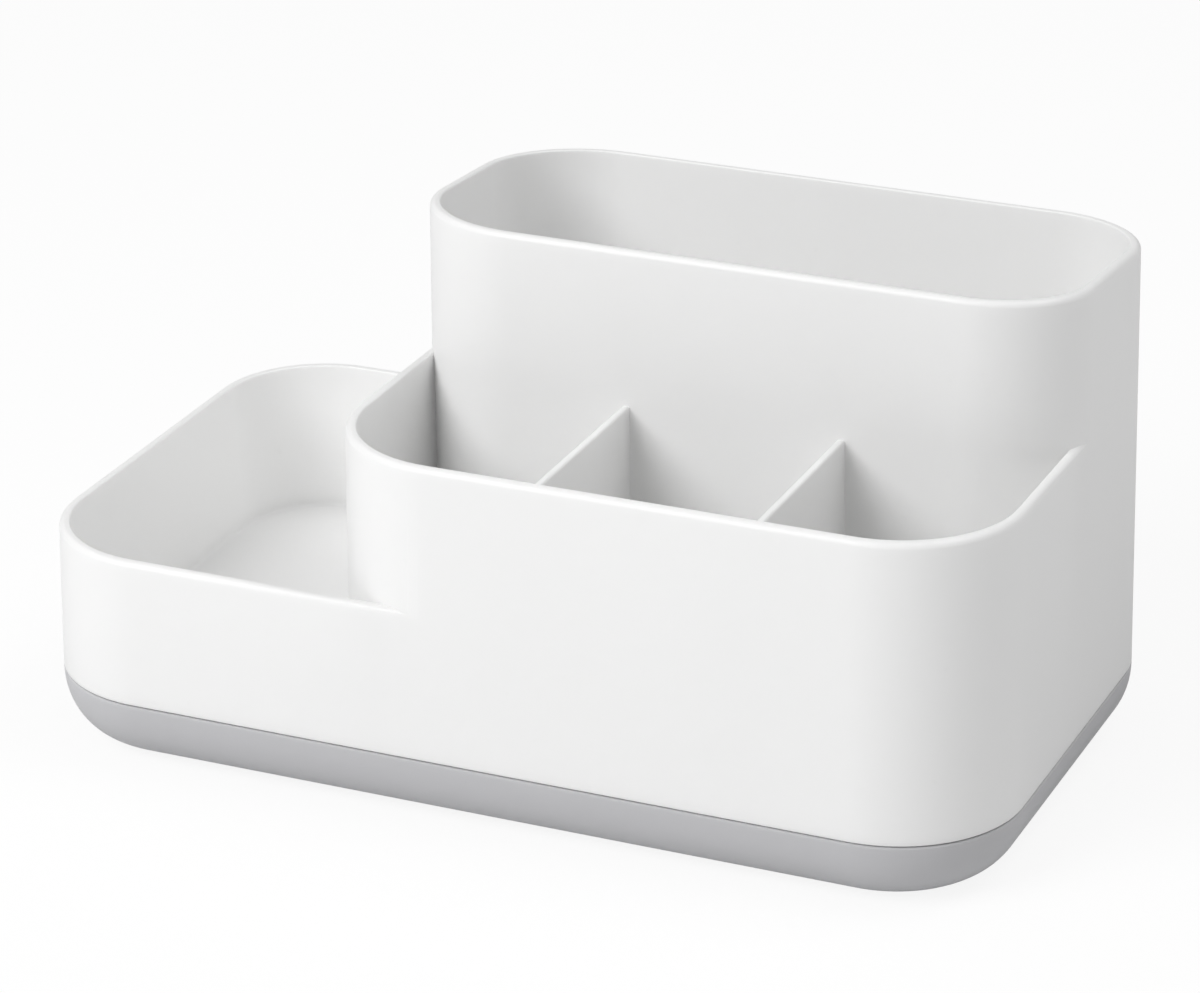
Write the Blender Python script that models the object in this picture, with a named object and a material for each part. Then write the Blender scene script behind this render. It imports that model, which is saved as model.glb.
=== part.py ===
"""Desk organizer: a stepped one-piece caddy screwed to a shallow round-edged base.

Units are metres, +Z is up, the front faces -Y and the low tray is at -X.
The origin is on the surface the organizer stands on, at the middle of its footprint.
"""
import math

import bmesh
import bpy

# ---- driving dimensions ------------------------------------------------------------
LENGTH = 0.265            # overall, along X
DEPTH = 0.148             # overall, along Y
FOOT_STANDS = 0.0008      # how far the feet hold the base off the surface
BASE_HEIGHT = 0.0180      # base, from its flat underside to the joint with the body
TRAY_RISE = 0.0403        # rim heights, measured up from the joint
CUP_RISE = 0.0797
TALL_RISE = 0.1213        # at the front of the tall box
TALL_SLOPE = 0.0700       # fall of the tall box's rim towards the back, per unit of depth
WALL = 0.0029             # wall thickness at every rim
WALL_AT_FLOOR = 0.0056    # the same walls at the floor, drawn for the mould
FLOOR = 0.0026            # thickness of the body's floor
FLOOR_DROP = 0.0017       # how far the floor's top lies below the joint
DIVIDER = 0.0020          # thickness of the two dividers
DIVIDER_DROP = 0.0002     # their tops lie just under the rim
CLEARANCE = 0.0003        # gap between pieces that touch
DRAFT = 0.0150            # lean of the outer walls, as run over rise

CORNER_RADIUS = 0.0338    # front corners of the footprint
BACK_RADIUS = 0.0300      # back corners of the footprint
CUP_RADIUS = 0.0338       # front left corner of the middle tier
TALL_RADIUS = 0.0270      # front right corner of the tall box
CUP_LEFT = 0.0843         # from the left end to the left wall of the middle tier
TALL_LEFT = 0.0813        # and to the left wall of the tall box
TALL_FRONT = 0.0585       # from the front face to the front wall of the tall box
DIVIDERS_AT = (0.1484, 0.2072)   # from the left end to each divider's middle
FLOOR_FILLET = 0.0012     # rounding where the compartments meet the floor

BASE_WALL = 0.0024
BASE_INSET = 0.0140       # how far the base's edge curves in, from joint to underside
PLUG_INSET = 0.0034       # the body's sunk floor clears the base's curved wall by this
COUNTERBORE_RADIUS = 0.0034
COUNTERBORE_WALL = 0.0020
COUNTERBORE_DEPTH = 0.0030

BOSS_RADIUS = 0.0042
PILOT_RADIUS = 0.0016
SCREW_RADIUS = 0.0013     # shank
SCREW_HEAD_RADIUS = 0.0028
SCREW_HEAD_HEIGHT = 0.0018
SCREW_LENGTH = 0.0085
SCREW_HOLE_RADIUS = 0.0018
SCREW_INSET = (0.0560, 0.0330)   # from the ends and from the front and back
FOOT_RADIUS = 0.0065
FOOT_SEAT_DEPTH = 0.0010
FOOT_INSET = (0.0310, 0.0310)

CORNER_STEPS = 12         # segments in a quarter turn of a corner
FILLET_STEPS = 4
EDGE_STEPS = 9            # segments down the base's curved side
ROUND_STEPS = 32          # segments in a full turn of a small round piece

# ---- derived levels ----------------------------------------------------------------
UNDERSIDE = FOOT_STANDS
JOINT = UNDERSIDE + BASE_HEIGHT
TRAY_TOP = JOINT + TRAY_RISE
CUP_TOP = JOINT + CUP_RISE
TALL_TOP = JOINT + TALL_RISE
FLOOR_TOP = JOINT - FLOOR_DROP
FLOOR_UNDER = FLOOR_TOP - FLOOR
COUNTERBORE_TOP = UNDERSIDE + COUNTERBORE_DEPTH + COUNTERBORE_WALL
LEFT = -LENGTH / 2
RIGHT = LENGTH / 2
FRONT = -DEPTH / 2
BACK = DEPTH / 2
CUP_X = LEFT + CUP_LEFT
TALL_X = LEFT + TALL_LEFT
TALL_Y = FRONT + TALL_FRONT
CUP_BACK = TALL_Y + TALL_RADIUS + 0.006   # the middle tier ends inside the tall box
BEYOND = 0.020            # how far a cutter runs past what it cuts

FOOTPRINT_RADII = (CORNER_RADIUS, CORNER_RADIUS, BACK_RADIUS, BACK_RADIUS)
CUP_RADII = (CUP_RADIUS, CORNER_RADIUS, 0.0, 0.0)
TALL_RADII = (CORNER_RADIUS, TALL_RADIUS, BACK_RADIUS, BACK_RADIUS)

WHITE = (0.86, 0.86, 0.85)
GREY = (0.46, 0.46, 0.49)
RUBBER = (0.10, 0.10, 0.105)
STEEL = (0.55, 0.56, 0.58)


def clear_scene():
    for old in list(bpy.data.objects):
        bpy.data.objects.remove(old, do_unlink=True)


def material(name, colour, roughness, metallic=0.0):
    made = bpy.data.materials.new(name)
    made.use_nodes = True
    shader = made.node_tree.nodes["Principled BSDF"]
    shader.inputs["Base Color"].default_value = (*colour, 1.0)
    shader.inputs["Roughness"].default_value = roughness
    shader.inputs["Metallic"].default_value = metallic
    made.diffuse_color = (*colour, 1.0)
    return made


# ---- outlines and solids -----------------------------------------------------------
def rounded_outline(x0, x1, y0, y1, radii, inset=0.0):
    """Counter-clockwise outline; radii run front left, front right, back right, back left."""
    x0 += inset
    x1 -= inset
    y0 += inset
    y1 -= inset
    corners = [
        (x0, y0, 1, 1, 180),
        (x1, y0, -1, 1, 270),
        (x1, y1, -1, -1, 0),
        (x0, y1, 1, -1, 90),
    ]
    points = []
    for (x, y, to_x, to_y, start), radius in zip(corners, radii):
        radius = max(radius - inset, 0.0005)
        centre_x = x + to_x * radius
        centre_y = y + to_y * radius
        for step in range(CORNER_STEPS + 1):
            angle = math.radians(start + 90 * step / CORNER_STEPS)
            points.append((centre_x + radius * math.cos(angle),
                           centre_y + radius * math.sin(angle)))
    return points


def circle_outline(x, y, radius):
    turns = [2 * math.pi * step / ROUND_STEPS for step in range(ROUND_STEPS)]
    return [(x + radius * math.cos(a), y + radius * math.sin(a)) for a in turns]


def loft(name, rings):
    """Closed solid through rings of (outline, height) listed from the bottom up."""
    mesh = bpy.data.meshes.new(name)
    shape = bmesh.new()
    loops = []
    for outline, height in rings:
        loops.append([shape.verts.new((x, y, height)) for x, y in outline])
    shape.faces.new(list(reversed(loops[0])))
    shape.faces.new(loops[-1])
    for lower, upper in zip(loops, loops[1:]):
        count = len(lower)
        for i in range(count):
            j = (i + 1) % count
            shape.faces.new((lower[i], lower[j], upper[j], upper[i]))
    bmesh.ops.recalc_face_normals(shape, faces=shape.faces)
    shape.to_mesh(mesh)
    shape.free()
    made = bpy.data.objects.new(name, mesh)
    bpy.context.scene.collection.objects.link(made)
    return made


def prism(name, outline, bottom, top):
    return loft(name, [(outline, bottom), (outline, top)])


def combine(target, other, operation):
    """Boolean on the mesh itself; the other object is used up."""
    step = target.modifiers.new(operation.title(), "BOOLEAN")
    step.operation = operation
    step.solver = "EXACT"
    step.object = other
    depsgraph = bpy.context.evaluated_depsgraph_get()
    result = bpy.data.meshes.new_from_object(target.evaluated_get(depsgraph))
    target.modifiers.remove(step)
    target.data = result
    bpy.data.objects.remove(other, do_unlink=True)


def pocket(name, x0, x1, y0, y1, radii, top):
    """Cutter for a compartment: drawn walls and a small rounding at the floor."""
    rings = []
    for step in range(FILLET_STEPS + 1):
        angle = math.radians(90 * step / FILLET_STEPS)
        inset = WALL_AT_FLOOR + FLOOR_FILLET * (1 - math.sin(angle))
        height = FLOOR_TOP + FLOOR_FILLET * (1 - math.cos(angle))
        rings.append((rounded_outline(x0, x1, y0, y1, radii, inset), height))
    at_rim = rounded_outline(x0, x1, y0, y1, radii, WALL)
    rings.append((at_rim, top))
    rings.append((at_rim, top + BEYOND))
    return loft(name, rings)


def finish_mesh(thing, slot, smooth_angle=35):
    """Clean, shade and colour a finished piece."""
    shape = bmesh.new()
    shape.from_mesh(thing.data)
    bmesh.ops.remove_doubles(shape, verts=shape.verts, dist=0.000002)
    bmesh.ops.dissolve_degenerate(shape, edges=shape.edges, dist=0.000002)
    bmesh.ops.recalc_face_normals(shape, faces=shape.faces)
    shape.to_mesh(thing.data)
    shape.free()
    thing.data.shade_smooth()
    thing.data.set_sharp_from_angle(angle=math.radians(smooth_angle))
    thing.data.materials.clear()
    thing.data.materials.append(slot)


# ---- the body ----------------------------------------------------------------------
def cup_block():
    outline = rounded_outline(CUP_X, RIGHT, FRONT, CUP_BACK, CUP_RADII)
    return prism("cup_block", outline, FLOOR_UNDER, CUP_TOP)


def tall_block():
    """The tall box before it is hollowed; its top falls towards the back."""
    outline = rounded_outline(TALL_X, RIGHT, TALL_Y, BACK, TALL_RADII)
    block = prism("tall_block", outline, FLOOR_UNDER, TALL_TOP)
    for vertex in block.data.vertices:
        if vertex.co.z > CUP_TOP:
            vertex.co.z -= TALL_SLOPE * (vertex.co.y - TALL_Y)
    return block


def skirt():
    """What is cut away below the joint, all round the sunk floor."""
    around_it = rounded_outline(LEFT, RIGHT, FRONT, BACK, FOOTPRINT_RADII, -BEYOND)
    within = rounded_outline(LEFT, RIGHT, FRONT, BACK, FOOTPRINT_RADII, PLUG_INSET)
    ring = prism("skirt", around_it, FLOOR_UNDER - BEYOND, JOINT)
    core = prism("skirt_core", within, FLOOR_UNDER - 2 * BEYOND, JOINT + BEYOND)
    combine(ring, core, "DIFFERENCE")
    return ring


def lean_walls(thing):
    """Draw the walls in towards the top, as the mould needs, about the middle of the footprint."""
    for vertex in thing.data.vertices:
        rise = max(vertex.co.z - JOINT, 0.0)
        vertex.co.x *= 1 - DRAFT * rise / (LENGTH / 2)
        vertex.co.y *= 1 - DRAFT * rise / (DEPTH / 2)


def make_body(slot):
    footprint = rounded_outline(LEFT, RIGHT, FRONT, BACK, FOOTPRINT_RADII)
    body = prism("body", footprint, FLOOR_UNDER, TRAY_TOP)
    combine(body, pocket("tray_space", LEFT, RIGHT, FRONT, BACK, FOOTPRINT_RADII, TRAY_TOP),
            "DIFFERENCE")
    combine(body, cup_block(), "UNION")
    combine(body, pocket("cup_space", CUP_X, RIGHT, FRONT, CUP_BACK, CUP_RADII, CUP_TOP),
            "DIFFERENCE")
    combine(body, tall_block(), "UNION")
    combine(body, pocket("tall_space", TALL_X, RIGHT, TALL_Y, BACK, TALL_RADII, TALL_TOP),
            "DIFFERENCE")
    for distance in DIVIDERS_AT:
        middle = LEFT + distance
        outline = [
            (middle - DIVIDER / 2, FRONT + WALL / 2),
            (middle + DIVIDER / 2, FRONT + WALL / 2),
            (middle + DIVIDER / 2, TALL_Y + WALL / 2),
            (middle - DIVIDER / 2, TALL_Y + WALL / 2),
        ]
        divider = prism("divider", outline, FLOOR_TOP - FLOOR / 2, CUP_TOP - DIVIDER_DROP)
        combine(body, divider, "UNION")
    combine(body, skirt(), "DIFFERENCE")
    for x, y in screw_places():
        boss = prism("boss", circle_outline(x, y, BOSS_RADIUS), COUNTERBORE_TOP + CLEARANCE,
                     FLOOR_UNDER + FLOOR / 2)
        combine(body, boss, "UNION")
        pilot = prism("pilot", circle_outline(x, y, PILOT_RADIUS), UNDERSIDE,
                      FLOOR_UNDER + FLOOR / 4)
        combine(body, pilot, "DIFFERENCE")
    lean_walls(body)
    finish_mesh(body, slot)
    return body


# ---- the base ----------------------------------------------------------------------
def base_side(thickness):
    """Rings of the base's curved side, or of its inside when thickness is not zero."""
    rings = []
    for step in range(EDGE_STEPS + 1):
        angle = math.radians(90 * (1 - step / EDGE_STEPS))
        inset = thickness + (BASE_INSET - thickness / 2) * (1 - math.cos(angle))
        drop = (BASE_HEIGHT - CLEARANCE - thickness) * math.sin(angle)
        outline = rounded_outline(LEFT, RIGHT, FRONT, BACK, FOOTPRINT_RADII, inset)
        rings.append((outline, JOINT - CLEARANCE - drop))
    return rings


def make_base(slot):
    base = loft("base", base_side(0.0))
    hollow_rings = base_side(BASE_WALL)
    hollow_rings.append((hollow_rings[-1][0], JOINT + BEYOND))
    combine(base, loft("base_hollow", hollow_rings), "DIFFERENCE")
    for x, y in screw_places():
        post_outline = circle_outline(x, y, COUNTERBORE_RADIUS + COUNTERBORE_WALL)
        post = prism("post", post_outline, UNDERSIDE + BASE_WALL / 2, COUNTERBORE_TOP)
        combine(base, post, "UNION")
        counterbore = prism("counterbore", circle_outline(x, y, COUNTERBORE_RADIUS),
                            UNDERSIDE - BEYOND, UNDERSIDE + COUNTERBORE_DEPTH)
        combine(base, counterbore, "DIFFERENCE")
        hole = prism("hole", circle_outline(x, y, SCREW_HOLE_RADIUS),
                     UNDERSIDE, COUNTERBORE_TOP + BEYOND)
        combine(base, hole, "DIFFERENCE")
    for _, x, y in foot_places():
        seat = prism("seat", circle_outline(x, y, FOOT_RADIUS + CLEARANCE),
                     UNDERSIDE - BEYOND, UNDERSIDE + FOOT_SEAT_DEPTH)
        combine(base, seat, "DIFFERENCE")
    finish_mesh(base, slot)
    return base


# ---- fasteners and feet --------------------------------------------------------------
def around(inset_x, inset_y):
    return [
        ("front_left", LEFT + inset_x, FRONT + inset_y),
        ("front_right", RIGHT - inset_x, FRONT + inset_y),
        ("back_left", LEFT + inset_x, BACK - inset_y),
        ("back_right", RIGHT - inset_x, BACK - inset_y),
    ]


def foot_places():
    return around(*FOOT_INSET)


def screw_places():
    return [(x, y) for _, x, y in around(*SCREW_INSET)]


def make_foot(name, x, y, slot):
    edge = FOOT_RADIUS * 0.06
    top = FOOT_SEAT_DEPTH + FOOT_STANDS - CLEARANCE
    rings = [
        (circle_outline(0, 0, FOOT_RADIUS - edge), 0.0),
        (circle_outline(0, 0, FOOT_RADIUS), edge),
        (circle_outline(0, 0, FOOT_RADIUS), top),
    ]
    foot = loft(name, rings)
    foot.location = (x, y, 0.0)
    finish_mesh(foot, slot)
    return foot


def make_screw(name, x, y, slot):
    """Pan head with a cross recess, point up in the boss."""
    head_rings = []
    for step in range(FILLET_STEPS + 1):
        angle = math.radians(90 * step / FILLET_STEPS)
        radius = SCREW_HEAD_RADIUS * (0.62 + 0.38 * math.sin(angle))
        height = SCREW_HEAD_HEIGHT * 0.6 * (1 - math.cos(angle))
        head_rings.append((circle_outline(0, 0, radius), height))
    head_rings.append((circle_outline(0, 0, SCREW_HEAD_RADIUS), SCREW_HEAD_HEIGHT))
    screw = loft(name, head_rings)
    point = SCREW_HEAD_HEIGHT + SCREW_LENGTH
    shank = loft("shank", [
        (circle_outline(0, 0, SCREW_RADIUS), SCREW_HEAD_HEIGHT / 2),
        (circle_outline(0, 0, SCREW_RADIUS), point - 2 * SCREW_RADIUS),
        (circle_outline(0, 0, SCREW_RADIUS * 0.25), point),
    ])
    combine(screw, shank, "UNION")
    arm = SCREW_HEAD_RADIUS * 0.55
    slit = SCREW_HEAD_RADIUS * 0.14
    for long_x, long_y in ((arm, slit), (slit, arm)):
        outline = [(-long_x, -long_y), (long_x, -long_y), (long_x, long_y), (-long_x, long_y)]
        combine(screw, prism("recess", outline, -BEYOND, SCREW_HEAD_HEIGHT * 0.55), "DIFFERENCE")
    screw.location = (x, y, UNDERSIDE + COUNTERBORE_DEPTH - CLEARANCE - SCREW_HEAD_HEIGHT)
    finish_mesh(screw, slot)
    return screw


def main():
    clear_scene()
    make_body(material("body_plastic", WHITE, 0.38))
    make_base(material("base_plastic", GREY, 0.45))
    rubber = material("foot_rubber", RUBBER, 0.8)
    steel = material("screw_steel", STEEL, 0.35, 1.0)
    for place, x, y in foot_places():
        make_foot("foot_" + place, x, y, rubber)
    for place, x, y in around(*SCREW_INSET):
        make_screw("screw_" + place, x, y, steel)


main()
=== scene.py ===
"""Looks for the desk organizer: a white stepped caddy on a light grey round-edged base.

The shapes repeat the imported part's dimensions at a finer step and add what the plain
solids leave out: rounded rims, a shadow line at the joint, grip grooves in the feet and
the marks of moulding. Metres, +Z up, front towards -Y.
"""
import math
from functools import cached_property

import bmesh
import bpy
from mathutils import Matrix, Vector


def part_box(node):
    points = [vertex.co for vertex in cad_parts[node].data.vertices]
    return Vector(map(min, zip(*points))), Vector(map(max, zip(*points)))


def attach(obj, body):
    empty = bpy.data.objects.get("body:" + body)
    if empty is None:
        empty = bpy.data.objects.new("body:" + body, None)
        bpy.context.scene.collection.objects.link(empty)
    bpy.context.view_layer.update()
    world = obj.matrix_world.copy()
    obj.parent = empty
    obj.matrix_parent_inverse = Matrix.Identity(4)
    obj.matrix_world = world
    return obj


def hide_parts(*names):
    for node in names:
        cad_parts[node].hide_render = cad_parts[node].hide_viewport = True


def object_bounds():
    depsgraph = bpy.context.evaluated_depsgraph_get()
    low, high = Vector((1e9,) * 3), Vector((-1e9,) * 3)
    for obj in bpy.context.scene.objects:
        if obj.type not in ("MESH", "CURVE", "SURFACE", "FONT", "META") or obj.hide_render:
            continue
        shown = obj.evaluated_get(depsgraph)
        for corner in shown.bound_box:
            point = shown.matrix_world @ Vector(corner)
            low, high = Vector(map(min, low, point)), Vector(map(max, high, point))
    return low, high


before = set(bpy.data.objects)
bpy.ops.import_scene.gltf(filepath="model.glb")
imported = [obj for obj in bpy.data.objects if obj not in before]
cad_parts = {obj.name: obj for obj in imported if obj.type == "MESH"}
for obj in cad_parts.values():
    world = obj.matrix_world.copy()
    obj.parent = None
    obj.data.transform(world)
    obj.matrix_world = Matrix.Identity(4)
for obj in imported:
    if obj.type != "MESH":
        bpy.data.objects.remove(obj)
cad_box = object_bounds()

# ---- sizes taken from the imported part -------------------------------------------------
LOW, HIGH = cad_box
LEFT, RIGHT = LOW.x, HIGH.x
FRONT, BACK = LOW.y, HIGH.y
LENGTH = RIGHT - LEFT
DEPTH = BACK - FRONT
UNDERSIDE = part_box("base")[0].z
CLEARANCE = 0.0003
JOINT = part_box("base")[1].z + CLEARANCE

# ---- the part's own dimensions --------------------------------------------------------
TRAY_TOP = JOINT + 0.0403
CUP_TOP = JOINT + 0.0797
TALL_TOP = JOINT + 0.1213
TALL_SLOPE = 0.0700       # the tall box's rim falls this much per metre towards the back
WALL = 0.0029             # at the rim
WALL_AT_FLOOR = 0.0056
FLOOR = 0.0026            # thickness of the compartments' floor
FLOOR_TOP = JOINT - 0.0017
FLOOR_UNDER = FLOOR_TOP - FLOOR
FLOOR_FILLET = 0.0012
DIVIDER = 0.0020
DIVIDER_TOP = CUP_TOP - 0.0002
DRAFT = 0.0150            # the walls lean in this much per metre of height
CORNER_RADIUS = 0.0338
BACK_RADIUS = 0.0300
TALL_RADIUS = 0.0270      # the tall box's front right corner
CUP_X = LEFT + 0.0843     # left side of the middle tier
TALL_X = LEFT + 0.0813    # left side of the tall box
TALL_Y = FRONT + 0.0585   # front of the tall box
DIVIDERS_AT = (LEFT + 0.1484, LEFT + 0.2072)
TIER_OVERLAP = 0.006      # the middle tier runs on this far behind the tall box's corner
CUP_BACK = TALL_Y + TALL_RADIUS + TIER_OVERLAP
PLUG_INSET = 0.0034       # the sunk floor stands in from the body's side
BOSS_RADIUS = 0.0042
PILOT_RADIUS = 0.0016
BASE_WALL = 0.0024
BASE_INSET = 0.0140       # the base's side curves in this far at the underside
COUNTERBORE_RADIUS = 0.0034
COUNTERBORE_DEPTH = 0.0030
COUNTERBORE_WALL = 0.0020
COUNTERBORE_LEAD_IN = 0.0004
COUNTERBORE_TOP = UNDERSIDE + COUNTERBORE_DEPTH + COUNTERBORE_WALL
SCREW_HOLE_RADIUS = 0.0018
SCREW_INSET = (0.0560, 0.0330)
FOOT_RADIUS = 0.0065
FOOT_SEAT_DEPTH = 0.0010
FOOT_INSET = (0.0310, 0.0310)
BEYOND = 0.020            # how far a cutter runs past what it cuts

# corner radii: front left, front right, back right, back left
FOOTPRINT_RADII = (CORNER_RADIUS, CORNER_RADIUS, BACK_RADIUS, BACK_RADIUS)
CUP_RADII = (CORNER_RADIUS, CORNER_RADIUS, 0.0, 0.0)
TALL_RADII = (CORNER_RADIUS, TALL_RADIUS, BACK_RADIUS, BACK_RADIUS)
LEAST_RADIUS = 0.0005

# ---- finish of the edges --------------------------------------------------------------
RIM_ROUND = 0.0016        # rounding of the rims' outer edge
RIM_ROUND_INSIDE = 0.0005
DIVIDER_ROUND = 0.0006
JOINT_ROUND = 0.0005      # the body's lower edge and the base's upper edge
# the body's lower edge: in from its side and up from the joint, both in JOINT_ROUNDs
LOWER_EDGE = ((1.0, 0.0), (0.45, 0.16), (0.12, 0.52), (-0.40, 1.60))
FOOT_EDGE = 0.0005
GROOVE_DEPTH = 0.00025
# shares of the foot's radius: inner disc, middles of the grooves, half widths of a groove
FOOT_DISC = 0.30
GROOVES_AT = (0.45, 0.70)
GROOVE_MOUTH, GROOVE_FLOOR = 0.055, 0.03
CORNER_STEPS = 40
ROUND_STEPS = 5
FILLET_STEPS = 4
EDGE_STEPS = 22
CIRCLE_STEPS = 64
MERGE_DISTANCE = 0.000002
SMOOTH_ANGLE = 32         # degrees; a steeper edge stays sharp
SMOOTH_WEIGHT = 60

# ---- colours and light ----------------------------------------------------------------
WHITE, WHITE_SHADE = (0.94, 0.94, 0.935), (0.72, 0.715, 0.70)
GREY, GREY_SHADE = (0.565, 0.565, 0.58), (0.36, 0.36, 0.37)
RUBBER = (0.055, 0.055, 0.058)
STEEL = (0.62, 0.62, 0.60)
PLASTIC_IOR = 1.49
SCATTER = 0.50            # share of the plastic's colour that comes from inside the wall
SCATTER_REACH = 0.0030
STUDIO_SIZE = 6.0
FLOOR_BOUNCE = 0.80       # what the floor gives back to the object
FLOOR_SHADOWED = 0.12     # the share of it that shows shadow when seen directly
FLOOR_GLOW = 0.88
FLOOR_ROUGHNESS = 0.9
SKY = 0.41                # as light on the object
SKY_SEEN = 0.98
LIGHTS_AIM = (0.0, 0.0, 0.05)

# ---- camera: to the front right, a little above, with a long lens ----------------------
CAMERA_AT = (0.4493, -1.0250, 0.5460)
CAMERA_YAW = math.radians(23.587)
CAMERA_PITCH = math.radians(23.272)
CAMERA_ROLL = math.radians(-0.402)
CAMERA_LENS = 140.4
CAMERA_SENSOR = 36.0


# ---- mesh building --------------------------------------------------------------------
def rounded_outline(x0, x1, y0, y1, radii, inset=0.0):
    """Counter-clockwise; radii run front left, front right, back right, back left."""
    x0, x1, y0, y1 = x0 + inset, x1 - inset, y0 + inset, y1 - inset
    corners = ((x0, y0, 1, 1, 180), (x1, y0, -1, 1, 270),
               (x1, y1, -1, -1, 0), (x0, y1, 1, -1, 90))
    points = []
    for (x, y, to_x, to_y, start), radius in zip(corners, radii):
        radius = max(radius - inset, LEAST_RADIUS)
        for step in range(CORNER_STEPS + 1):
            angle = math.radians(start + 90 * step / CORNER_STEPS)
            points.append((x + to_x * radius + radius * math.cos(angle),
                           y + to_y * radius + radius * math.sin(angle)))
    return points


def footprint(inset):
    return rounded_outline(LEFT, RIGHT, FRONT, BACK, FOOTPRINT_RADII, inset)


def circle_outline(x, y, radius):
    turns = [2 * math.pi * step / CIRCLE_STEPS for step in range(CIRCLE_STEPS)]
    return [(x + radius * math.cos(a), y + radius * math.sin(a)) for a in turns]


def skin(name, rings, closed=False):
    """Mesh through rings of (outline, height); closed joins the last ring to the first."""
    mesh = bpy.data.meshes.new(name)
    shape = bmesh.new()
    loops = [[shape.verts.new((x, y, height)) for x, y in outline] for outline, height in rings]
    pairs = list(zip(loops, loops[1:]))
    if closed:
        pairs.append((loops[-1], loops[0]))
    else:
        shape.faces.new(list(reversed(loops[0])))
        shape.faces.new(loops[-1])
    for lower, upper in pairs:
        count = len(lower)
        for i in range(count):
            j = (i + 1) % count
            shape.faces.new((lower[i], lower[j], upper[j], upper[i]))
    bmesh.ops.recalc_face_normals(shape, faces=shape.faces)
    shape.to_mesh(mesh)
    shape.free()
    made = bpy.data.objects.new(name, mesh)
    bpy.context.scene.collection.objects.link(made)
    return made


def prism(name, outline, bottom, top):
    return skin(name, [(outline, bottom), (outline, top)])


def combine(target, other, operation):
    """Boolean of two meshes; the second is used up."""
    step = target.modifiers.new(operation.title(), "BOOLEAN")
    step.operation = operation
    step.solver = "EXACT"
    step.object = other
    depsgraph = bpy.context.evaluated_depsgraph_get()
    result = bpy.data.meshes.new_from_object(target.evaluated_get(depsgraph))
    target.modifiers.remove(step)
    target.data = result
    bpy.data.objects.remove(other, do_unlink=True)


def quarter(steps=ROUND_STEPS):
    """(run, rise) of a quarter round, from its lower end to its upper end."""
    angles = [math.radians(90 * step / steps) for step in range(steps + 1)]
    return [(1 - math.cos(a), math.sin(a)) for a in angles]


def block(name, corners, radii, top):
    """A tier before it is hollowed, its outer edge rounded at the rim."""
    rings = [(rounded_outline(*corners, radii), FLOOR_UNDER)]
    for run, rise in quarter():
        rings.append((rounded_outline(*corners, radii, RIM_ROUND * run),
                      top - RIM_ROUND + RIM_ROUND * rise))
    return skin(name, rings)


def pocket(name, corners, radii, top):
    """Cutter for a compartment: rounded at the floor, and flared at the rim's inner edge."""
    rings = []
    for run, rise in quarter(FILLET_STEPS):
        inset = WALL_AT_FLOOR + FLOOR_FILLET * (1 - rise)
        rings.append((rounded_outline(*corners, radii, inset), FLOOR_TOP + FLOOR_FILLET * run))
    flare = RIM_ROUND_INSIDE
    for run, rise in quarter():
        rings.append((rounded_outline(*corners, radii, WALL - flare * run),
                      top - flare + flare * rise))
    rings.append((rounded_outline(*corners, radii, WALL - flare), top + BEYOND))
    return skin(name, rings)


def slope_top(thing):
    """The tall box's rim falls towards the back."""
    for vertex in thing.data.vertices:
        if vertex.co.z > TALL_TOP - 2 * RIM_ROUND:
            vertex.co.z -= TALL_SLOPE * (vertex.co.y - TALL_Y)
    return thing


def lean_walls(thing):
    """The mould's draft: everything above the joint narrows with height."""
    for vertex in thing.data.vertices:
        rise = max(vertex.co.z - JOINT, 0.0)
        vertex.co.x *= 1 - DRAFT * rise / (LENGTH / 2)
        vertex.co.y *= 1 - DRAFT * rise / (DEPTH / 2)


def finish_mesh(thing):
    """Clean up after the booleans and shade smooth between the sharp edges."""
    shape = bmesh.new()
    shape.from_mesh(thing.data)
    bmesh.ops.remove_doubles(shape, verts=shape.verts, dist=MERGE_DISTANCE)
    bmesh.ops.dissolve_degenerate(shape, edges=shape.edges, dist=MERGE_DISTANCE)
    bmesh.ops.recalc_face_normals(shape, faces=shape.faces)
    shape.to_mesh(thing.data)
    shape.free()
    thing.data.shade_smooth()
    thing.data.set_sharp_from_angle(angle=math.radians(SMOOTH_ANGLE))
    even = thing.modifiers.new("EvenShading", "WEIGHTED_NORMAL")
    even.keep_sharp = True
    even.weight = SMOOTH_WEIGHT


def around(inset_x, inset_y):
    """The four places that a screw or a foot has, at equal distances from the sides."""
    return [
        ("front_left", LEFT + inset_x, FRONT + inset_y),
        ("front_right", RIGHT - inset_x, FRONT + inset_y),
        ("back_left", LEFT + inset_x, BACK - inset_y),
        ("back_right", RIGHT - inset_x, BACK - inset_y),
    ]


SCREW_PLACES = around(*SCREW_INSET)
FOOT_PLACES = around(*FOOT_INSET)


# ---- the white body -------------------------------------------------------------------
def divider(middle):
    """A thin wall with a rounded top, its ends buried in the two walls it joins."""
    y0, y1 = FRONT + WALL / 2, TALL_Y + WALL / 2

    def section(half):
        return [(middle - half, y0), (middle + half, y0),
                (middle + half, y1), (middle - half, y1)]

    rings = [(section(DIVIDER / 2), FLOOR_TOP - FLOOR / 2)]
    for run, rise in quarter():
        rings.append((section(DIVIDER / 2 - DIVIDER_ROUND * run),
                      DIVIDER_TOP - DIVIDER_ROUND + DIVIDER_ROUND * rise))
    return skin("divider", rings)


def skirt():
    """Cuts away what is below the joint round the sunk floor, and rounds the lower edge."""
    foot = FLOOR_UNDER - BEYOND
    edge = [(JOINT_ROUND * inward, JOINT + JOINT_ROUND * upward)
            for inward, upward in LOWER_EDGE]
    profile = [(PLUG_INSET, foot), (PLUG_INSET, JOINT), *edge,
               (-BEYOND, edge[-1][1]), (-BEYOND, foot)]
    return skin("skirt", [(footprint(inset), height) for inset, height in profile], closed=True)


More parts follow.
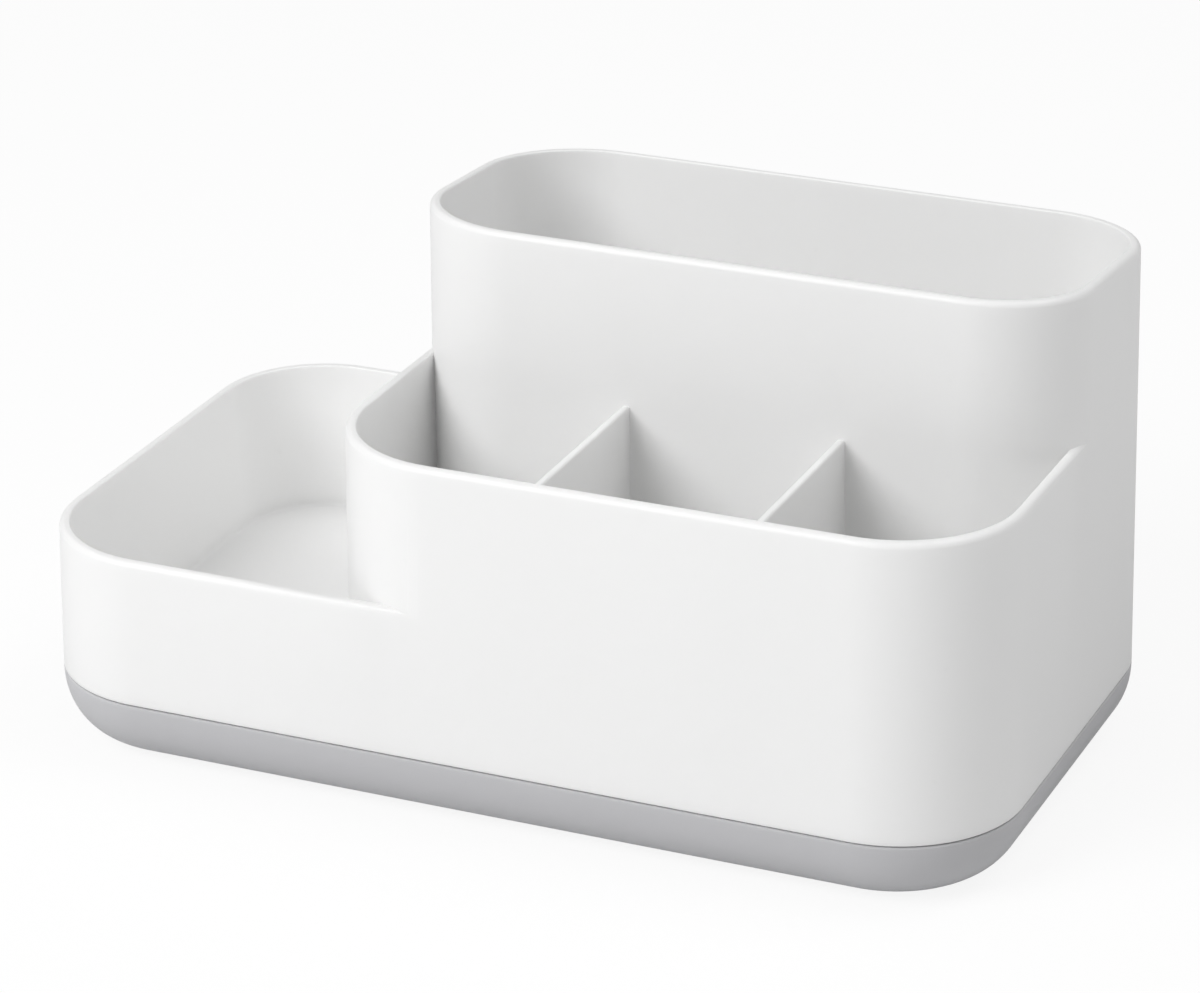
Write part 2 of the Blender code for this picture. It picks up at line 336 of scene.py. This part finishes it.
def make_body():
    whole = (LEFT, RIGHT, FRONT, BACK)
    cup = (CUP_X, RIGHT, FRONT, CUP_BACK)
    tall = (TALL_X, RIGHT, TALL_Y, BACK)
    body = block("body_shell", whole, FOOTPRINT_RADII, TRAY_TOP)
    combine(body, pocket("space", whole, FOOTPRINT_RADII, TRAY_TOP), "DIFFERENCE")
    combine(body, block("tier", cup, CUP_RADII, CUP_TOP), "UNION")
    combine(body, pocket("space", cup, CUP_RADII, CUP_TOP), "DIFFERENCE")
    combine(body, slope_top(block("tier", tall, TALL_RADII, TALL_TOP)), "UNION")
    combine(body, slope_top(pocket("space", tall, TALL_RADII, TALL_TOP)), "DIFFERENCE")
    for middle in DIVIDERS_AT:
        combine(body, divider(middle), "UNION")
    combine(body, skirt(), "DIFFERENCE")
    for _, x, y in SCREW_PLACES:
        boss = prism("boss", circle_outline(x, y, BOSS_RADIUS), COUNTERBORE_TOP + CLEARANCE,
                     FLOOR_UNDER + FLOOR / 2)
        combine(body, boss, "UNION")
        pilot = prism("pilot", circle_outline(x, y, PILOT_RADIUS), UNDERSIDE,
                      FLOOR_UNDER + FLOOR / 4)
        combine(body, pilot, "DIFFERENCE")
    lean_walls(body)
    finish_mesh(body)
    return body


# ---- the grey base --------------------------------------------------------------------
def base_side(thickness, top):
    """Rings up the curved side, from the underside; thickness is not zero for the inside."""
    rings = []
    height = top - UNDERSIDE - thickness
    for step in range(EDGE_STEPS + 1):
        angle = math.radians(90 * (1 - step / EDGE_STEPS))
        inset = thickness + (BASE_INSET - thickness / 2) * (1 - math.cos(angle))
        rings.append((footprint(inset), top - height * math.sin(angle)))
    return rings


def make_base():
    top = JOINT - CLEARANCE
    rings = base_side(0.0, top - JOINT_ROUND)
    for run, rise in quarter()[1:]:
        rings.append((footprint(JOINT_ROUND * run), top - JOINT_ROUND + JOINT_ROUND * rise))
    base = skin("base_shell", rings)
    hollow = base_side(BASE_WALL, top)
    hollow.append((hollow[-1][0], JOINT + BEYOND))
    combine(base, skin("hollow", hollow), "DIFFERENCE")
    for _, x, y in SCREW_PLACES:
        post_outline = circle_outline(x, y, COUNTERBORE_RADIUS + COUNTERBORE_WALL)
        combine(base, prism("post", post_outline, UNDERSIDE + BASE_WALL / 2, COUNTERBORE_TOP),
                "UNION")
        mouth = circle_outline(x, y, COUNTERBORE_RADIUS + COUNTERBORE_LEAD_IN)
        bore = circle_outline(x, y, COUNTERBORE_RADIUS)
        counterbore = skin("counterbore", [
            (mouth, UNDERSIDE - BEYOND),
            (mouth, UNDERSIDE),
            (bore, UNDERSIDE + COUNTERBORE_LEAD_IN),
            (bore, UNDERSIDE + COUNTERBORE_DEPTH),
        ])
        combine(base, counterbore, "DIFFERENCE")
        combine(base, prism("hole", circle_outline(x, y, SCREW_HOLE_RADIUS), UNDERSIDE,
                            COUNTERBORE_TOP + BEYOND), "DIFFERENCE")
    for _, x, y in FOOT_PLACES:
        seat = prism("seat", circle_outline(x, y, FOOT_RADIUS + CLEARANCE), UNDERSIDE - BEYOND,
                     UNDERSIDE + FOOT_SEAT_DEPTH)
        combine(base, seat, "DIFFERENCE")
    finish_mesh(base)
    return base


# ---- feet -----------------------------------------------------------------------------
def make_foot(place, x, y):
    """Soft disc with a rounded edge and two grip grooves pressed into its underside."""
    low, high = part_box("foot_" + place)
    rings = [(circle_outline(x, y, FOOT_RADIUS * FOOT_DISC), low.z)]
    for middle in GROOVES_AT:
        for share, depth in ((-GROOVE_MOUTH, 0.0), (-GROOVE_FLOOR, GROOVE_DEPTH),
                             (GROOVE_FLOOR, GROOVE_DEPTH), (GROOVE_MOUTH, 0.0)):
            rings.append((circle_outline(x, y, FOOT_RADIUS * (middle + share)), low.z + depth))
    for run, rise in quarter():
        rings.append((circle_outline(x, y, FOOT_RADIUS - FOOT_EDGE * (1 - rise)),
                      low.z + FOOT_EDGE * run))
    rings.append((circle_outline(x, y, FOOT_RADIUS), high.z))
    foot = skin("foot_pad_" + place, rings)
    finish_mesh(foot)
    return foot


# ---- materials ------------------------------------------------------------------------
class Graph:
    """A new material, with its nodes at hand and short calls for the usual ones."""

    def __init__(self, name):
        self.material = bpy.data.materials.new(name)
        self.material.use_nodes = True
        self.nodes = self.material.node_tree.nodes
        self.shader = self.nodes["Principled BSDF"]

    @cached_property
    def coordinates(self):
        return self.nodes.new("ShaderNodeTexCoord").outputs["Object"]

    def join(self, start, end):
        self.material.node_tree.links.new(start, end)

    def noise(self, scale, detail, roughness=0.5):
        node = self.nodes.new("ShaderNodeTexNoise")
        node.inputs["Scale"].default_value = scale
        node.inputs["Detail"].default_value = detail
        node.inputs["Roughness"].default_value = roughness
        self.join(self.coordinates, node.inputs["Vector"])
        return node.outputs["Fac"]

    def span(self, value, between, gives):
        """Map a range of a value to another range, held at both ends."""
        node = self.nodes.new("ShaderNodeMapRange")
        node.inputs["From Min"].default_value, node.inputs["From Max"].default_value = between
        node.inputs["To Min"].default_value, node.inputs["To Max"].default_value = gives
        self.join(value, node.inputs["Value"])
        return node.outputs["Result"]

    def blend_colour(self, share, first, second):
        node = self.nodes.new("ShaderNodeMix")
        node.data_type = "RGBA"
        self.join(share, node.inputs["Factor"])
        for name, value in (("A", first), ("B", second)):
            socket = [s for s in node.inputs if s.name == name and s.type == "RGBA"][0]
            if isinstance(value, tuple):
                socket.default_value = (*value, 1.0)
            else:
                self.join(value, socket)
        return [s for s in node.outputs if s.type == "RGBA"][0]

    def bump(self, height, strength, distance, under=None):
        node = self.nodes.new("ShaderNodeBump")
        node.inputs["Strength"].default_value = strength
        node.inputs["Distance"].default_value = distance
        self.join(height, node.inputs["Height"])
        if under is not None:
            self.join(under, node.inputs["Normal"])
        return node.outputs["Normal"]

    def finish(self, colour, roughness, normal):
        """Lead what was mixed into the shader."""
        self.join(colour, self.shader.inputs["Base Color"])
        self.join(roughness, self.shader.inputs["Roughness"])
        self.join(normal, self.shader.inputs["Normal"])
        return self.material


def toned(colour, factor):
    return tuple(channel * factor for channel in colour)


def moulded_plastic(name, colour, shade, roughness, specular):
    """Satin plastic: fine spark texture, slight waviness, soft flow marks, faint scuffs."""
    graph = Graph(name)
    pores = graph.noise(scale=2600.0, detail=2.0, roughness=0.6)
    waves = graph.noise(scale=26.0, detail=2.0, roughness=0.4)
    clouds = graph.noise(scale=9.0, detail=3.0)
    scuffs = graph.noise(scale=180.0, detail=6.0, roughness=0.7)
    flow_marks = graph.span(clouds, between=(0.35, 0.65), gives=(0.0, 1.0))
    tinted = graph.blend_colour(flow_marks, colour, toned(colour, 0.985))
    specks = graph.span(scuffs, between=(0.66, 0.74), gives=(0.0, 0.10))
    spread = 0.035
    shader = graph.shader.inputs
    shader["IOR"].default_value = PLASTIC_IOR
    shader["Specular IOR Level"].default_value = specular
    shader["Subsurface Weight"].default_value = SCATTER
    shader["Subsurface Radius"].default_value = (1.0, 1.0, 1.0)
    shader["Subsurface Scale"].default_value = SCATTER_REACH
    return graph.finish(
        graph.blend_colour(specks, tinted, shade),
        graph.span(scuffs, between=(0.30, 0.70), gives=(roughness - spread, roughness + spread)),
        graph.bump(pores, strength=0.16, distance=0.00004,
                   under=graph.bump(waves, strength=0.10, distance=0.0006)))


def rubber(name, colour):
    """Dull rubber with a little lint on it."""
    graph = Graph(name)
    grit = graph.noise(scale=1800.0, detail=4.0, roughness=0.7)
    lint = graph.noise(scale=420.0, detail=5.0, roughness=0.65)
    dust = graph.span(lint, between=(0.52, 0.72), gives=(0.0, 0.5))
    return graph.finish(
        graph.blend_colour(dust, colour, toned(colour, 2.4)),
        graph.span(grit, between=(0.3, 0.7), gives=(0.72, 0.9)),
        graph.bump(grit, strength=0.3, distance=0.00008))


def plated_steel(name, colour):
    """Plated metal, dull in spots."""
    graph = Graph(name)
    spots = graph.noise(scale=900.0, detail=5.0, roughness=0.6)
    lines = graph.noise(scale=3200.0, detail=2.0)
    dull = graph.span(spots, between=(0.42, 0.66), gives=(0.0, 1.0))
    graph.shader.inputs["Metallic"].default_value = 1.0
    return graph.finish(
        graph.blend_colour(dull, colour, toned(colour, 0.78)),
        graph.span(spots, between=(0.3, 0.7), gives=(0.24, 0.42)),
        graph.bump(lines, strength=0.12, distance=0.00003))


def pale_floor(name):
    """Plain white; seen directly it keeps only a faint shadow, as a bright studio does."""
    graph = Graph(name)
    seen = graph.nodes.new("ShaderNodeBsdfPrincipled")
    for shader, grey, specular in ((graph.shader, FLOOR_BOUNCE, 0.1),
                                   (seen, FLOOR_SHADOWED, 0.0)):
        shader.inputs["Base Color"].default_value = (grey, grey, grey, 1.0)
        shader.inputs["Roughness"].default_value = FLOOR_ROUGHNESS
        shader.inputs["Specular IOR Level"].default_value = specular
    seen.inputs["Emission Color"].default_value = (1.0, 1.0, 1.0, 1.0)
    seen.inputs["Emission Strength"].default_value = FLOOR_GLOW
    choice = graph.nodes.new("ShaderNodeMixShader")
    path = graph.nodes.new("ShaderNodeLightPath")
    graph.join(path.outputs["Is Camera Ray"], choice.inputs["Fac"])
    graph.join(graph.shader.outputs["BSDF"], choice.inputs[1])
    graph.join(seen.outputs["BSDF"], choice.inputs[2])
    graph.join(choice.outputs["Shader"], graph.nodes["Material Output"].inputs["Surface"])
    return graph.material


# ---- the visible pieces ---------------------------------------------------------------
white_plastic = moulded_plastic("white_plastic", WHITE, WHITE_SHADE,
                                roughness=0.40, specular=0.45)
grey_plastic = moulded_plastic("grey_plastic", GREY, GREY_SHADE,
                               roughness=0.52, specular=0.12)
foot_rubber = rubber("dark_rubber", RUBBER)
screw_steel = plated_steel("plated_steel", STEEL)


def cover(thing, material):
    thing.data.materials.clear()
    thing.data.materials.append(material)


def show(piece, node, material):
    """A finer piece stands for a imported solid."""
    cover(piece, material)
    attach(piece, "root")
    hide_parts(node)


show(make_body(), "body", white_plastic)
show(make_base(), "base", grey_plastic)
for place, foot_x, foot_y in FOOT_PLACES:
    show(make_foot(place, foot_x, foot_y), "foot_" + place, foot_rubber)
for place, _, _ in SCREW_PLACES:
    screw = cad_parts["screw_" + place]
    cover(screw, screw_steel)

# ---- floor, sky and lights ------------------------------------------------------------
reach = STUDIO_SIZE / 2
floor_mesh = bpy.data.meshes.new("floor")
floor_mesh.from_pydata([(-reach, -reach, 0), (reach, -reach, 0),
                        (reach, reach, 0), (-reach, reach, 0)], [], [(0, 1, 2, 3)])
floor_mesh.materials.append(pale_floor("pale_floor"))
floor = bpy.data.objects.new("floor", floor_mesh)
bpy.context.scene.collection.objects.link(floor)

world = bpy.data.worlds.new("studio")
world.use_nodes = True
world_nodes = world.node_tree.nodes
sky = world_nodes["Background"]
sky.inputs["Color"].default_value = (1.0, 1.0, 1.0, 1.0)
sky_path = world_nodes.new("ShaderNodeLightPath")
sky_strength = world_nodes.new("ShaderNodeMapRange")
sky_strength.inputs["To Min"].default_value = SKY
sky_strength.inputs["To Max"].default_value = SKY_SEEN
world.node_tree.links.new(sky_path.outputs["Is Camera Ray"], sky_strength.inputs["Value"])
world.node_tree.links.new(sky_strength.outputs["Result"], sky.inputs["Strength"])
bpy.context.scene.world = world


def soft_light(name, location, size, energy):
    data = bpy.data.lights.new(name, "AREA")
    data.shape = "DISK"
    data.size = size
    data.energy = energy
    lamp = bpy.data.objects.new(name, data)
    lamp.location = location
    lamp.rotation_mode = "QUATERNION"
    towards = Vector(LIGHTS_AIM) - Vector(location)
    lamp.rotation_quaternion = towards.to_track_quat("-Z", "Y")
    bpy.context.scene.collection.objects.link(lamp)


soft_light("key_left", (-0.777, -1.346, 1.309), size=1.2, energy=22.3)
soft_light("fill_right", (0.85, 0.35, 1.7), size=1.0, energy=7.0)

# ---- camera ---------------------------------------------------------------------------
ahead = Vector((-math.sin(CAMERA_YAW) * math.cos(CAMERA_PITCH),
                math.cos(CAMERA_YAW) * math.cos(CAMERA_PITCH), -math.sin(CAMERA_PITCH)))
level_right = ahead.cross(Vector((0, 0, 1))).normalized()
level_up = level_right.cross(ahead)
right = math.cos(CAMERA_ROLL) * level_right + math.sin(CAMERA_ROLL) * level_up
up = -math.sin(CAMERA_ROLL) * level_right + math.cos(CAMERA_ROLL) * level_up
camera_data = bpy.data.cameras.new("camera")
camera_data.sensor_width = CAMERA_SENSOR
camera_data.lens = CAMERA_LENS
camera_data.clip_start = 0.05
camera_data.clip_end = 20.0
camera = bpy.data.objects.new("camera", camera_data)
camera.matrix_world = Matrix((
    (right.x, up.x, -ahead.x, CAMERA_AT[0]),
    (right.y, up.y, -ahead.y, CAMERA_AT[1]),
    (right.z, up.z, -ahead.z, CAMERA_AT[2]),
    (0, 0, 0, 1),
))
bpy.context.scene.collection.objects.link(camera)
bpy.context.scene.camera = camera

bpy.context.scene.view_settings.view_transform = "Standard"
bpy.context.scene.view_settings.look = "None"

bpy.context.view_layer.update()
